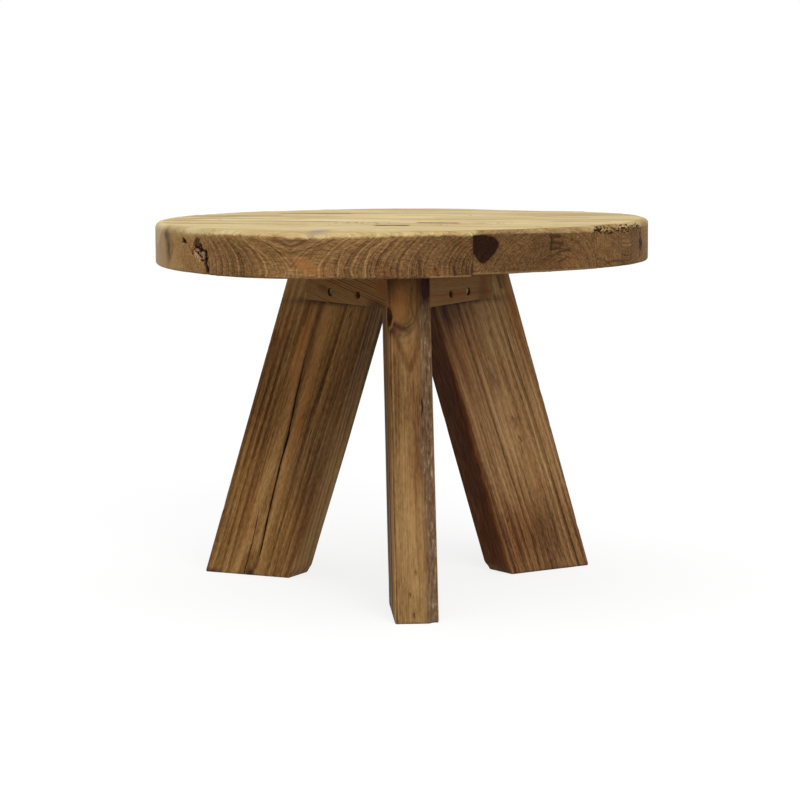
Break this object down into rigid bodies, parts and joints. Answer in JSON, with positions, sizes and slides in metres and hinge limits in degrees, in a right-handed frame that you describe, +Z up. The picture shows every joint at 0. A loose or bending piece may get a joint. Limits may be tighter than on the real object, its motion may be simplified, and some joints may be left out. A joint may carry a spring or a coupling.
{
  "type": "coffee table",
  "caption": "Low round coffee table with a thick plank top on splayed radial board legs joined by screwed corner blocks.",
  "frame": {"origin": "on the floor under the middle of the round top", "axes": "+Z up, the front leg points to -Y, +X to the right of someone who faces the front leg"},
  "size_m": [0.6, 0.6, 0.45],
  "materials": {
    "top_wood": "sanded and oiled reclaimed softwood",
    "leg_wood": "brushed old softwood beam, oiled",
    "block_wood": "sawn old softwood, oiled",
    "yellow_zinc_screw": "yellow zinc plate"
  },
  "bodies": {
    "root": {"top_plank_1": "top_wood", "top_plank_2": "top_wood", "top_plank_3": "top_wood", "top_plank_4": "top_wood", "top_plank_5": "top_wood", "top_plank_6": "top_wood", "top_plank_7": "top_wood", "top_plank_8": "top_wood", "top_plank_9": "top_wood", "top_plank_10": "top_wood", "leg_front": "leg_wood", "leg_left": "leg_wood", "leg_right": "leg_wood", "corner_block_left": "block_wood", "corner_block_right": "block_wood", "corner_block_back": "block_wood", "block_screws": "yellow_zinc_screw", "top_screws": "yellow_zinc_screw"}
  },
  "joints": []
}
